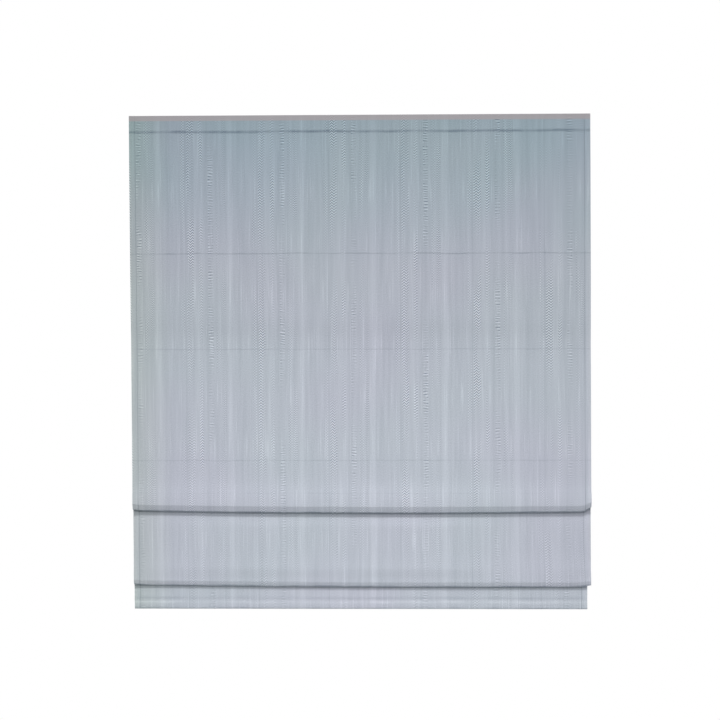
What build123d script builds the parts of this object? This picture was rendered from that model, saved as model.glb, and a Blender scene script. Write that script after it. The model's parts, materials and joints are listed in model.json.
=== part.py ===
from build123d import *
import math
import os

# Flat-fold Roman blind, 1000 mm wide, partly raised, with a spring lift in its headrail.
# Millimetres. X runs along the rail, -Y faces the room, +Z is up.
# The wall is the plane Y = 0, and the origin is the centre of the four wall screw holes.

# Cloth
blind_width = 1000.0
cloth_thickness = 0.8
header_height = 36.0
header_to_rod = 510.0
rod_pitch = 420.0
rod_to_hem = 250.0
raised_by = 124.0
stack_pitch = 20.0
seam_depth = 2.4
seam_height = 30.0
seam_above_rod = 3.0
fold_depth_upper = 4.0
fold_depth_lower = 3.6
fold_nose_height = 14.0
fold_nose_share = 0.55
ridge_radius = 0.8
cloth_gap = 0.3

# Hem
hem_bar_height = 18.0
hem_bar_thickness = 3.0
hem_bar_end_gap = 9.0
hem_seam_height = 2.5
hem_seam_gap = 0.1
hem_bar_sink = 0.6
hem_bar_edge = 0.9
hem_cap_wall = 0.9

# Headrail
rail_height = 35.0
rail_depth = 38.0
rail_wall = 1.3
rail_corner = 2.0
rail_lip = 5.0
rail_lip_drop = 3.0
rail_gap_behind = 4.5
cap_plate = 3.0
cap_edge = 0.8
cap_plug = 12.0
cap_plug_wall = 1.6
inner_fit = 0.2

# Touch-and-close tape
tape_height = 30.0
hook_tape_thickness = 1.5
loop_tape_thickness = 1.6
tape_end_gap = 4.0
tape_over_stitch = 1.1

# Brackets
bracket_from_end = 75.0
bracket_width = 32.0
bracket_plate = 1.5
bracket_catch_width = 12.0
bracket_hook_reach = 4.0
bracket_leg_gap = 1.0
bracket_seat = 0.2
bracket_over_rail = 0.3
bracket_edge = 4.0
bracket_bend = 1.25
wall_hole_spacing = 16.0
ceiling_hole_spacing = 12.0
screw_hole_radius = 2.5
header_over_bracket = 0.6

# Lift shaft, drums and cradles
cord_from_end = 125.0
shaft_side = 4.0
shaft_height = 6.5
shaft_overhang = 4.0
bore_fit = 0.1
drum_radius = 6.6
drum_length = 26.0
drum_flange = 1.5
drum_flange_radius = 8.6
drum_ramp = 4.0
drum_ramp_radius = 8.4
drum_journal_radius = 4.5
drum_free_lane = 9.0
cradle_wall = 3.0
cradle_floor = 2.5
cradle_head_radius = 7.5
cradle_foot = 30.0
cradle_finger = 2.0
cradle_finger_width = 8.0
cradle_gusset = 7.0
cradle_gusset_thickness = 1.6
journal_fit = 0.1
running_gap = 0.3
end_play = 0.4

# Lift cords
cord_radius = 0.7
cord_turns = 9
cord_turn_valley = 0.6
guide_radius = 4.0
guide_bore_radius = 2.2
guide_rim = 1.5
guide_fit = 0.2

# Spring motor
motor_from_cord = 185.0
motor_gap = 18.0
motor_plate_thickness = 2.5
motor_plate_top = 13.5
motor_post_radius = 1.7
motor_tip_radius = 1.0
spool_distance = 15.0
spool_radius = 4.0
spool_flange_radius = 7.0
spool_flange = 1.5
spool_journal_radius = 3.6
axle_radius = 1.5
spring_width = 12.0
spring_band = 0.5
spring_output_radius = 5.6
spring_storage_radius = 6.4

# Rods, pockets, clips and adjusters
rod_radius = 2.0
rod_end_gap = 8.0
pocket_end_gap = 20.0
pocket_wall = 0.65
pocket_reach = 3.8
pocket_fit = 0.15
rod_cap_length = 10.0
rod_cap_wall = 1.2
rod_cap_edge = 0.7
clip_width = 6.0
clip_wall = 1.3
clip_fit = 0.1
clip_mouth_angle = 80.0
ring_inner_radius = 7.2
ring_wall = 2.0
ring_height = 2.0
adjuster_radius = 3.4
adjuster_neck_radius = 1.8
adjuster_neck = 4.0
adjuster_length = 16.0
adjuster_taper = 1.4

# Heights
rail_top = rail_height / 2
rail_bottom = -rail_height / 2
floor_top = rail_bottom + rail_wall
lip_bottom = rail_top - rail_lip_drop
bracket_top = rail_top + bracket_over_rail + bracket_plate
cloth_top = bracket_top + header_over_bracket
rod_3_z = cloth_top - header_to_rod
rod_2_z = rod_3_z - rod_pitch + raised_by
rod_1_z = rod_2_z - stack_pitch
fold_upper_z = (rod_3_z + rod_2_z - rod_pitch) / 2
fold_lower_z = (rod_2_z + rod_1_z - rod_pitch) / 2
hem_z = rod_1_z - rod_to_hem

# Depths, each measured to the middle of the cloth
half_cloth = cloth_thickness / 2
rail_back = -(bracket_plate + rail_gap_behind)
rail_front = rail_back - rail_depth
header_y = rail_front - hook_tape_thickness - loop_tape_thickness - half_cloth
front_y = header_y + seam_depth
upper_back_y = front_y + fold_depth_upper
middle_y = upper_back_y + 2 * ridge_radius
lower_back_y = middle_y + fold_depth_lower
hem_y = lower_back_y + 2 * ridge_radius
rod_offset = half_cloth + cloth_gap + pocket_reach
pocket_radius = rod_radius + pocket_fit + pocket_wall
ring_outer_radius = ring_inner_radius + ring_wall
ring_offset = pocket_radius + clip_fit + ring_outer_radius
rod_line = {3: front_y, 2: middle_y, 1: hem_y}
rod_z = {3: rod_3_z, 2: rod_2_z, 1: rod_1_z}
rod_y = {number: line + rod_offset for number, line in rod_line.items()}
cord_y = (rod_y[3] + rod_y[1]) / 2 + ring_offset
wound_radius = drum_radius + running_gap + cord_radius
shaft_y = cord_y - wound_radius
storage_height = shaft_height - spool_distance

# Lengths
rail_length = blind_width - 2 * cap_plate
rod_length = blind_width - 2 * rod_end_gap
pocket_length = blind_width - 2 * pocket_end_gap
bar_length = blind_width - 2 * hem_bar_end_gap
bracket_spacing = blind_width - 2 * bracket_from_end
cord_spacing = blind_width / 2 - cord_from_end
motor_position = cord_spacing - motor_from_cord
sides = {"left": -1, "middle": 0, "right": 1}
ends = {"left": -1, "right": 1}


def block(x0, x1, y0, y1, z0, z1):
    """A box between two corners."""
    centre = Pos((x0 + x1) / 2, (y0 + y1) / 2, (z0 + z1) / 2)
    return centre * Box(abs(x1 - x0), abs(y1 - y0), abs(z1 - z0))


def along_x(section, x0, x1):
    """A section drawn in Y and Z, run from x0 to x1."""
    return extrude(Plane.YZ.offset(x0) * section, x1 - x0)


def rod_along_x(radius, x0, x1, y, z):
    """A round bar parallel to the rail."""
    return along_x(Pos(y, z) * Circle(radius), x0, x1)


def side_of_ribbon(start, moves, offset, upwards):
    """One edge of a ribbon, whose middle line is lines and arcs, at an offset to its left."""
    way = 1 if upwards else -1
    point = Vector(start[0] - way * offset, start[1])
    heading = Vector(0, way)
    edges = []
    for length, radius, angle in moves:
        if radius:
            reach = radius - offset if angle > 0 else radius + offset
            edge = JernArc(point, heading, reach, angle)
        else:
            edge = Line(point, point + heading * length)
        point, heading = edge @ 1, edge % 1
        edges.append(edge)
    return edges


def ribbon(start, moves, thickness, upwards=False):
    """A cloth or a bent plate seen end-on. Each move is a run, or a radius and its left turn."""
    left = side_of_ribbon(start, moves, thickness / 2, upwards)
    right = side_of_ribbon(start, moves, -thickness / 2, upwards)
    tips = [Line(left[0] @ 0, right[0] @ 0), Line(left[-1] @ 1, right[-1] @ 1)]
    return make_face(Wire(left + right + tips).edges())


def nose(depth):
    """The rounded bottom of a fold: a long slant to the back, then a tight turn upwards."""
    slant = depth * fold_nose_share
    long_radius = (fold_nose_height**2 + slant**2) / (2 * slant)
    angle = math.degrees(math.asin(fold_nose_height / long_radius))
    turn = math.radians(angle)
    tight_radius = (depth - slant) / (1 + math.cos(turn))
    drop = fold_nose_height + tight_radius * (1 - math.sin(turn))
    back = 180 - angle
    return drop, tight_radius, [(0, long_radius, angle), (0, tight_radius, back)]


def fabric():
    """The whole cloth: header, long seam at the upper rod, two folds, hem round its bar."""
    upper_drop, upper_tight, upper_nose = nose(fold_depth_upper)
    lower_drop, lower_tight, lower_nose = nose(fold_depth_lower)
    hem_radius = (hem_bar_thickness + cloth_thickness) / 2 + cloth_gap
    hem_turn_z = hem_z + half_cloth + hem_radius
    ridge = [(0, ridge_radius, -180)]
    seam_lean = 2 * math.atan(seam_depth / seam_height)
    seam_radius = seam_height / 2 / math.sin(seam_lean)
    seam_angle = math.degrees(seam_lean)
    seam = [(0, seam_radius, seam_angle), (0, seam_radius, -seam_angle)]
    flap_radius = hem_radius - (cloth_thickness + hem_seam_gap) / 2
    flap_step = [(0, flap_radius, 90), (0, flap_radius, -90)]
    flap_rise = hem_bar_height - hem_bar_sink + cloth_gap
    seam_low = rod_3_z + seam_above_rod
    upper_lip = fold_upper_z + half_cloth
    lower_lip = fold_lower_z + half_cloth
    moves = [(cloth_top - seam_low - seam_height, 0, 0)] + seam
    moves += [(seam_low - upper_lip - upper_drop, 0, 0)] + upper_nose
    moves += [(rod_2_z - upper_lip - upper_tight, 0, 0)] + ridge
    moves += [(rod_2_z - lower_lip - lower_drop, 0, 0)] + lower_nose
    moves += [(rod_1_z - lower_lip - lower_tight, 0, 0)] + ridge
    moves += [(rod_1_z - hem_turn_z, 0, 0), (0, hem_radius, 180)]
    moves += [(flap_rise, 0, 0)] + flap_step + [(hem_seam_height, 0, 0)]
    section = ribbon((header_y, cloth_top), moves, cloth_thickness)
    return along_x(section, -blind_width / 2, blind_width / 2)


def headrail():
    """U channel with two turned-in lips on top and a cord hole under each drum."""
    centre_y = (rail_back + rail_front) / 2
    slot = rail_depth - 2 * rail_lip
    outer = RectangleRounded(rail_depth, rail_height, rail_corner)
    inner = RectangleRounded(
        rail_depth - 2 * rail_wall, rail_height - 2 * rail_wall, rail_corner - rail_wall
    )
    hems = Pos(0, rail_top - rail_lip_drop / 2) * Rectangle(
        slot + 2 * rail_wall, rail_lip_drop
    )
    opening = Pos(0, rail_top - rail_lip_drop / 2) * Rectangle(slot, rail_lip_drop + 1)
    section = Pos(centre_y, 0) * (outer - inner + hems - opening)
    rail = along_x(section, -rail_length / 2, rail_length / 2)
    for side in sides.values():
        hole = Pos(side * cord_spacing, cord_y, rail_bottom)
        rail -= hole * Cylinder(guide_radius + guide_fit, 4 * rail_wall)
    return rail


def end_cap(side):
    """End plate with the rail's outline, and a ribbed hollow plug inside the rail."""
    centre_y = (rail_back + rail_front) / 2
    end = side * rail_length / 2
    outline = Pos(centre_y, 0) * RectangleRounded(rail_depth, rail_height, rail_corner)
    plate = along_x(outline, end, end + side * cap_plate)
    outer_rim = plate.faces().sort_by(Axis.X)[-1 if side > 0 else 0].edges()
    plate = chamfer(outer_rim, cap_edge)
    plug_top = lip_bottom - inner_fit
    plug_bottom = floor_top + inner_fit
    width = rail_depth - 2 * rail_wall - 2 * inner_fit
    height = plug_top - plug_bottom
    hollow = Rectangle(width - 2 * cap_plug_wall, height - 2 * cap_plug_wall)
    ribs = Rectangle(cap_plug_wall, height) + Rectangle(width, cap_plug_wall)
    plug = Rectangle(width, height) - hollow + ribs
    plug = Pos(centre_y, (plug_top + plug_bottom) / 2) * plug
    return plate + along_x(plug, end, end - side * cap_plug)


def tape(y_front, thickness):
    """A strip on the rail's front, just above the header's stitch line."""
    half = blind_width / 2 - cap_plate - tape_end_gap
    bottom = cloth_top - header_height + tape_over_stitch
    return block(-half, half, y_front, y_front + thickness, bottom, bottom + tape_height)


def bracket(side):
    """Bent plate: back on the wall, hook under the rail's front lip, catch under the rear."""
    x = side * bracket_spacing / 2
    x0, x1 = x - bracket_width / 2, x + bracket_width / 2
    catch_0, catch_1 = x - bracket_catch_width / 2, x + bracket_catch_width / 2
    half = bracket_plate / 2
    middle_z = bracket_top - half
    foot_z = lip_bottom - bracket_seat - half
    front_leg = rail_front + rail_lip + bracket_leg_gap + half
    rear_leg = rail_back - rail_lip - bracket_leg_gap - half
    leg = middle_z - foot_z - 2 * bracket_bend
    foot = bracket_hook_reach + half - bracket_bend
    left, right = (0, bracket_bend, 90), (0, bracket_bend, -90)
    strap = [(middle_z - bracket_bend - rail_bottom, 0, 0), left]
    strap += [(-half - front_leg - 2 * bracket_bend, 0, 0), left]
    strap += [(leg, 0, 0), right, (foot, 0, 0)]
    body = along_x(ribbon((-half, rail_bottom), strap, bracket_plate, upwards=True), x0, x1)
    back = block(x0, x1, -bracket_plate, 0, rail_bottom, rail_bottom + 2 * bracket_edge)
    corners = back.edges().filter_by(Axis.Y).group_by(Axis.Z)[0]
    body -= back - fillet(corners, bracket_edge)
    catch = [(leg + bracket_bend, 0, 0), left, (foot, 0, 0)]
    body += along_x(ribbon((rear_leg, middle_z), catch, bracket_plate), catch_0, catch_1)
    for step in (-1, 1):
        wall_hole = Pos(x, 0, step * wall_hole_spacing / 2) * Rot(90, 0, 0)
        body -= wall_hole * Cylinder(screw_hole_radius, 4 * bracket_plate)
        ceiling_y = (rail_front + rail_back) / 2 + step * ceiling_hole_spacing / 2
        body -= Pos(x, ceiling_y, bracket_top) * Cylinder(
            screw_hole_radius, 3 * bracket_plate
        )
    return body


def square_bore(x0, x1):
    """The hole that the square shaft passes through."""
    side = shaft_side + 2 * bore_fit
    return along_x(Pos(shaft_y, shaft_height) * Rectangle(side, side), x0, x1)


def drum_span(x):
    """Where a drum's barrel and its cradle's walls lie, for a cord that hangs at x."""
    barrel_1 = x + drum_free_lane
    barrel_0 = barrel_1 - drum_length
    return barrel_0, barrel_1


def cord_drum(x):
    """Barrel with a flange, a ramp that shifts the turns, and two journals, bored square."""
    barrel_0, barrel_1 = drum_span(x)
    journal_0 = barrel_0 - cradle_wall - end_play
    journal_1 = barrel_1 + cradle_wall + end_play
    drum = rod_along_x(drum_radius, barrel_0, barrel_1, shaft_y, shaft_height)
    flange_0 = barrel_0 + drum_flange
    drum += rod_along_x(
        drum_flange_radius, barrel_0, flange_0, shaft_y, shaft_height
    )
    ramp = Pos(barrel_1 - drum_ramp / 2, shaft_y, shaft_height) * Rot(0, 90, 0)
    drum += ramp * Cone(drum_radius, drum_ramp_radius, drum_ramp)
    drum += rod_along_x(
        drum_journal_radius, journal_0, journal_1, shaft_y, shaft_height
    )
    return drum - square_bore(journal_0 - 1, journal_1 + 1)


def cradle_end():
    """Outline of a cradle's wall: a wide foot that narrows to the bearing."""
    centre_y = (rail_front + rail_back) / 2
    foot = Pos(centre_y, floor_top + cradle_floor / 2) * Rectangle(
        cradle_foot, cradle_floor
    )
    head = Pos(shaft_y, shaft_height) * Circle(cradle_head_radius)
    outline = make_hull((foot + head).edges())
    bearing = Pos(shaft_y, shaft_height) * Circle(drum_journal_radius + journal_fit)
    return outline - bearing


def drum_cradle(x):
    """Floor, two bearing walls with gussets, two snap fingers and the cord guide."""
    barrel_0, barrel_1 = drum_span(x)
    wall_0, wall_1 = barrel_0 - end_play, barrel_1 + end_play
    out_0, out_1 = wall_0 - cradle_wall, wall_1 + cradle_wall
    inner_back = rail_back - rail_wall - inner_fit
    inner_front = rail_front + rail_wall + inner_fit
    floor_1 = floor_top + cradle_floor
    cradle = block(out_0, out_1, inner_front, inner_back, floor_top, floor_1)
    lower_edges = cradle.edges().filter_by(Axis.X).group_by(Axis.Z)[0]
    cradle = chamfer(lower_edges, rail_corner - rail_wall)
    cradle += along_x(cradle_end(), out_0, wall_0)
    cradle += along_x(cradle_end(), wall_1, out_1)
    for inner_face, way in ((wall_0, 1), (wall_1, -1)):
        for y in (inner_front, inner_back - cradle_gusset_thickness):
            corner = (inner_face, floor_1 - 1)
            up = (inner_face, floor_1 + cradle_gusset)
            out = (inner_face + way * cradle_gusset, floor_1 - 1)
            wedge = make_face(Plane.XZ * Polyline(corner, up, out, close=True))
            cradle += Pos(0, y, 0) * extrude(wedge, cradle_gusset_thickness, dir=(0, 1, 0))
    middle = (out_0 + out_1) / 2
    finger_0 = middle - cradle_finger_width / 2
    finger_1 = middle + cradle_finger_width / 2
    foot = floor_top + rail_corner - rail_wall
    top = lip_bottom - inner_fit
    front_0, front_1 = inner_front, inner_front + cradle_finger
    back_0, back_1 = inner_back - cradle_finger, inner_back
    cradle += block(finger_0, finger_1, front_0, front_1, foot, top)
    cradle += block(finger_0, finger_1, back_0, back_1, foot, top)
    guide_bottom = rail_bottom - guide_rim
    guide_height = floor_1 - guide_bottom
    guide = Pos(x, cord_y, (floor_1 + guide_bottom) / 2)
    cradle += guide * Cylinder(guide_radius, guide_height)
    return cradle - guide * Cylinder(guide_bore_radius, guide_height + 2)


def lift_cord(x):
    """The cord's wound turns on the drum, then its straight fall to the adjuster."""
    turns_1 = x + cord_turn_valley
    turns_0 = turns_1 - cord_turns * 2 * cord_radius
    inner, outer = wound_radius - cord_turn_valley, wound_radius + cord_turn_valley
    coil = Circle(outer) - Circle(inner)
    wound = along_x(Pos(shaft_y, shaft_height) * coil, turns_0, turns_1)
    bottom = rod_1_z - ring_height / 2 - adjuster_length + adjuster_taper
    length = shaft_height - bottom
    fall = Pos(x, cord_y, shaft_height - length / 2) * Cylinder(cord_radius, length)
    return wound + fall


def lift_shaft():
    """Square rod from the left cradle to the right one."""
    left_0, _ = drum_span(-cord_spacing)
    _, right_1 = drum_span(cord_spacing)
    reach = cradle_wall + end_play + shaft_overhang
    square = Pos(shaft_y, shaft_height) * Rectangle(shaft_side, shaft_side)
    return along_x(square, left_0 - reach, right_1 + reach)


def motor_plate_outline():
    """Both motor plates: the rail's inner width, with a bearing hole and an axle hole."""
    y0 = rail_front + rail_wall + inner_fit
    y1 = rail_back - rail_wall - inner_fit
    height = motor_plate_top - floor_top
    outline = Pos((y0 + y1) / 2, floor_top + height / 2) * RectangleRounded(
        y1 - y0, height, rail_corner
    )
    bearing = Pos(shaft_y, shaft_height) * Circle(spool_journal_radius + journal_fit)
    axle = Pos(shaft_y, storage_height) * Circle(axle_radius + bore_fit / 2)
    return outline - bearing - axle


def motor_posts():
    """Three spacer posts, clear of both spools."""
    clear = spool_flange_radius + motor_post_radius + 1.5
    behind = shaft_y + 2 * clear - 1.5
    front = rail_front + rail_wall + inner_fit + motor_post_radius
    middle = (shaft_height + storage_height) / 2
    return [(behind, shaft_height), (behind, storage_height), (front, middle)]


def motor_frame():
    """Left plate with the posts and their tips."""
    gap_0 = motor_position - motor_gap / 2
    gap_1 = motor_position + motor_gap / 2
    frame = along_x(motor_plate_outline(), gap_0 - motor_plate_thickness, gap_0)
    for y, z in motor_posts():
        frame += rod_along_x(motor_post_radius, gap_0, gap_1, y, z)
        tip = gap_1 + motor_plate_thickness
        frame += rod_along_x(motor_tip_radius, gap_1, tip, y, z)
    return frame


def motor_plate():
    """Right plate on the posts' tips."""
    gap_1 = motor_position + motor_gap / 2
    outline = motor_plate_outline()
    for y, z in motor_posts():
        outline -= Pos(y, z) * Circle(motor_tip_radius + bore_fit / 2)
    return along_x(outline, gap_1, gap_1 + motor_plate_thickness)


def spool(z):
    """Barrel between two flanges, inside the motor's gap."""
    x0 = motor_position - motor_gap / 2 + end_play
    x1 = motor_position + motor_gap / 2 - end_play
    body = rod_along_x(spool_radius, x0, x1, shaft_y, z)
    body += rod_along_x(spool_flange_radius, x0, x0 + spool_flange, shaft_y, z)
    return body + rod_along_x(spool_flange_radius, x1 - spool_flange, x1, shaft_y, z)


def output_spool():
    """Spool with journals and a square bore, turned by the spring."""
    x0 = motor_position - motor_gap / 2 - motor_plate_thickness
    x1 = motor_position + motor_gap / 2 + motor_plate_thickness
    body = spool(shaft_height)
    body += rod_along_x(spool_journal_radius, x0, x1, shaft_y, shaft_height)
    return body - square_bore(x0 - 1, x1 + 1)


def storage_spool():
    """Spool that runs free on its axle."""
    x0 = motor_position - motor_gap / 2
    x1 = motor_position + motor_gap / 2
    bore = rod_along_x(axle_radius + journal_fit, x0, x1, shaft_y, storage_height)
    return spool(storage_height) - bore


def storage_axle():
    """Pin through both motor plates."""
    x0 = motor_position - motor_gap / 2 - motor_plate_thickness
    x1 = motor_position + motor_gap / 2 + motor_plate_thickness
    return rod_along_x(axle_radius, x0, x1, shaft_y, storage_height)


def power_spring():
    """Steel band: a coil on each spool and the bridge that crosses between them."""
    inner = spool_radius + running_gap
    output = Pos(0, shaft_height) * (Circle(spring_output_radius) - Circle(inner))
    storage = Pos(0, storage_height) * (Circle(spring_storage_radius) - Circle(inner))
    output_mid = spring_output_radius - spring_band / 2
    storage_mid = spring_storage_radius - spring_band / 2
    down = (output_mid + storage_mid) / spool_distance
    across = math.sqrt(1 - down**2)
    normal = Vector(across, -down)
    top = Vector(0, shaft_height) + normal * output_mid
    bottom = Vector(0, storage_height) - normal * storage_mid
    half = normal * (spring_band / 2)
    bridge = make_face(Polyline(top + half, bottom + half, bottom - half, top - half, close=True))
    section = Pos(shaft_y, 0) * (output + storage + bridge)
    x0 = motor_position - spring_width / 2
    return along_x(section, x0, x0 + spring_width)


def rod(number):
    """Round stiffening rod."""
    half = rod_length / 2
    return rod_along_x(rod_radius, -half, half, rod_y[number], rod_z[number])


def rod_cap(number, side):
    """Cup on the rod's end."""
    end = side * rod_length / 2
    start = end - side * (rod_cap_length - rod_cap_wall)
    stop = end + side * rod_cap_wall
    y, z = rod_y[number], rod_z[number]
    cup = rod_along_x(rod_radius + rod_cap_wall, start, stop, y, z)
    tip = cup.faces().sort_by(Axis.X)[-1 if side > 0 else 0].edges()
    cup = chamfer(tip, rod_cap_edge)
    return cup - rod_along_x(rod_radius + bore_fit / 2, start - side, end, y, z)


def rod_pocket(number):
    """Sewn sleeve round the rod with a flat seam towards the cloth."""
    half = pocket_length / 2
    inner = rod_radius + pocket_fit
    seam_length = pocket_reach - inner
    seam = Pos(-(pocket_reach + inner) / 2, 0) * Rectangle(seam_length, 2 * pocket_wall)
    sleeve = Circle(pocket_radius) + seam - Circle(inner)
    return along_x(Pos(rod_y[number], rod_z[number]) * sleeve, -half, half)


def ring_clip():
    """Snap clip round the rod's pocket with a flat ring behind it for the lift cord."""
    inner = pocket_radius + clip_fit
    mouth = math.radians(clip_mouth_angle / 2)
    far = 2 * (inner + clip_wall)
    upper = (-far * math.cos(mouth), far * math.sin(mouth))
    lower = (upper[0], -upper[1])
    wedge = make_face(Polyline((0, 0), upper, lower, close=True))
    clasp = Circle(inner + clip_wall) - Circle(inner) - wedge
    clip = along_x(clasp, -clip_width / 2, clip_width / 2)
    ring = Cylinder(ring_outer_radius, ring_height)
    clip += Pos(0, ring_offset, 0) * ring
    clip -= Pos(0, ring_offset, 0) * Cylinder(ring_inner_radius, clip_width)
    return clip - rod_along_x(inner, -clip_width, clip_width, 0, 0)


def rod_clips(number):
    """One clip at each cord, all alike."""
    clip = ring_clip()
    y, z = rod_y[number], rod_z[number]
    places = [Pos(side * cord_spacing, y, z) for side in sides.values()]
    return Compound(children=[place * clip for place in places])


def cord_adjusters():
    """Turned toggles on the cords, one below each of the lowest rings."""
    top = rod_1_z - ring_height / 2
    bottom = -adjuster_length
    shoulder = -adjuster_neck
    slim = adjuster_radius - adjuster_taper
    profile = Polyline(
        (cord_radius + bore_fit / 2, 0),
        (adjuster_neck_radius, 0),
        (adjuster_neck_radius, shoulder),
        (adjuster_radius, shoulder - adjuster_taper),
        (adjuster_radius, bottom + adjuster_taper),
        (slim, bottom),
        (cord_radius + bore_fit / 2, bottom),
        close=True,
    )
    toggle = revolve(make_face(Plane.XZ * profile), Axis.Z)
    places = [Pos(side * cord_spacing, cord_y, top) for side in sides.values()]
    return Compound(children=[place * toggle for place in places])


def bar_place():
    """Y and Z of the hem bar's middle, inside the hem."""
    y = hem_y + half_cloth + cloth_gap + hem_bar_thickness / 2
    turn = hem_z + cloth_thickness + hem_bar_thickness / 2 + cloth_gap
    return y, turn - hem_bar_sink + hem_bar_height / 2


def hem_bar():
    """Flat bar with rounded edges."""
    y, z = bar_place()
    half = bar_length / 2
    section = RectangleRounded(hem_bar_thickness, hem_bar_height, hem_bar_edge)
    return along_x(Pos(y, z) * section, -half, half)


def hem_bar_cap(side):
    """Shallow plug plate on the bar's end."""
    y, z = bar_place()
    end = side * bar_length / 2
    section = RectangleRounded(hem_bar_thickness, hem_bar_height, hem_bar_edge)
    return along_x(Pos(y, z) * section, end, end + side * hem_cap_wall)


def all_parts():
    """Every node of the blind by name."""
    hook_front = rail_front - hook_tape_thickness
    parts = {
        "headrail": headrail(),
        "hook_tape": tape(hook_front, hook_tape_thickness),
        "loop_tape": tape(hook_front - loop_tape_thickness, loop_tape_thickness),
        "fabric": fabric(),
        "lift_shaft": lift_shaft(),
        "motor_frame": motor_frame(),
        "motor_plate": motor_plate(),
        "output_spool": output_spool(),
        "storage_spool": storage_spool(),
        "storage_axle": storage_axle(),
        "power_spring": power_spring(),
        "hem_bar": hem_bar(),
        "cord_adjusters": cord_adjusters(),
    }
    for name, side in ends.items():
        parts[f"end_cap_{name}"] = end_cap(side)
        parts[f"bracket_{name}"] = bracket(side)
        parts[f"hem_bar_cap_{name}"] = hem_bar_cap(side)
    for name, side in sides.items():
        x = side * cord_spacing
        parts[f"drum_cradle_{name}"] = drum_cradle(x)
        parts[f"cord_drum_{name}"] = cord_drum(x)
        parts[f"lift_cord_{name}"] = lift_cord(x)
    for number in rod_z:
        parts[f"rod_{number}"] = rod(number)
        parts[f"rod_{number}_pocket"] = rod_pocket(number)
        for name, side in ends.items():
            parts[f"rod_{number}_cap_{name}"] = rod_cap(number, side)
        parts[f"rod_{number}_clips"] = rod_clips(number)
    return parts


os.makedirs("parts", exist_ok=True)
for node, shape in all_parts().items():
    export_step(shape, f"parts/{node}.step")
print("cord y", round(cord_y, 2), "shaft y", round(shaft_y, 2))
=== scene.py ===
# %% [markdown]
# # A flat-fold Roman blind
# One cloth hangs from a headrail, is stiffened by rods across its back, and is drawn up
# into flat folds by three cords. Each real piece is made in turn, then finished, lit and
# photographed. The imported model gives every piece its place. The cloth's drape and
# pattern, the camera and the light are matched to the photograph, by measuring it.

# %% Load the imported model
import json
import math

import bmesh
import bpy
import numpy as np
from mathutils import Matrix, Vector, noise


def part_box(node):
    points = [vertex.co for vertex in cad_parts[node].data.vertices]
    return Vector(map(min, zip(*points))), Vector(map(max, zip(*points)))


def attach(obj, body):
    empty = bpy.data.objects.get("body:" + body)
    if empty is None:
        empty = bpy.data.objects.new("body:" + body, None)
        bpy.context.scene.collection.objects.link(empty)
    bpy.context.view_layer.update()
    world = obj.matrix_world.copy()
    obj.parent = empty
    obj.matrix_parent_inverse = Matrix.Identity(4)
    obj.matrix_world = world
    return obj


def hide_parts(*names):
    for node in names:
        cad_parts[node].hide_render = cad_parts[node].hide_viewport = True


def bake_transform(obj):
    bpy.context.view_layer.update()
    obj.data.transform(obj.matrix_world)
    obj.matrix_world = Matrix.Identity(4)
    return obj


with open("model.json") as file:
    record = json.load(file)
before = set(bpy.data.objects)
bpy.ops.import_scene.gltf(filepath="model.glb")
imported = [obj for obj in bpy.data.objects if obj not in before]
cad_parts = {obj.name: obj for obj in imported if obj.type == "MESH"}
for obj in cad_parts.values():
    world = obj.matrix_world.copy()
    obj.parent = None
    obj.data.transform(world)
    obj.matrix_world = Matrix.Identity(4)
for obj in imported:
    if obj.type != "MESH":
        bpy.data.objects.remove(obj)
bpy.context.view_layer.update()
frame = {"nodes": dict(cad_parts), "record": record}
mm = 0.001

# %% [markdown]
# Places come from the model's own boxes. The cloth hangs from its loop tape and lies in
# front of the rods, so its planes are found from those. A fold line lies half-way between
# two rods, less half the cloth that hangs between them.

# %% Measure the places
def middle_of(node):
    """Centre of a node's box."""
    low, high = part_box(node)
    return (Vector(low) + Vector(high)) / 2


cloth_thickness = 0.8 * mm
half_cloth = cloth_thickness / 2
rod_pitch = 420 * mm
rod_to_cloth = 4.5 * mm
ridge_radius = 0.8 * mm
header_height = 36 * mm

cloth_low, cloth_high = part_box("fabric")
half_width = cloth_high[0]
cloth_top = cloth_high[2]
rods = {number: middle_of(f"rod_{number}") for number in (3, 2, 1)}
header_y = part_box("loop_tape")[0][1] - half_cloth
front_y = rods[3].y - rod_to_cloth
middle_y = rods[2].y - rod_to_cloth
hem_y = rods[1].y - rod_to_cloth
upper_back_y = middle_y - 2 * ridge_radius
lower_back_y = hem_y - 2 * ridge_radius
stitch_z = cloth_top - header_height
fold_upper = (rods[3].z + rods[2].z - rod_pitch) / 2 + half_cloth
fold_lower = (rods[2].z + rods[1].z - rod_pitch) / 2 + half_cloth
hem_z = cloth_low[2] + half_cloth
print("fold lines at", round(fold_upper, 4), round(fold_lower, 4))

# %% [markdown]
# Seen end-on, the cloth is one line: straight falls, rounded folds and small steps at
# seams. A turtle walks along that line and leaves a row of points behind it. A row holds
# its place, its heading and how far along the cloth it lies, which later places the
# woven pattern without a break from piece to piece.

# %% Walk along the cloth
row_gap = 5 * mm
arc_gap = 3 * mm
arc_step = math.radians(15)


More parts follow.
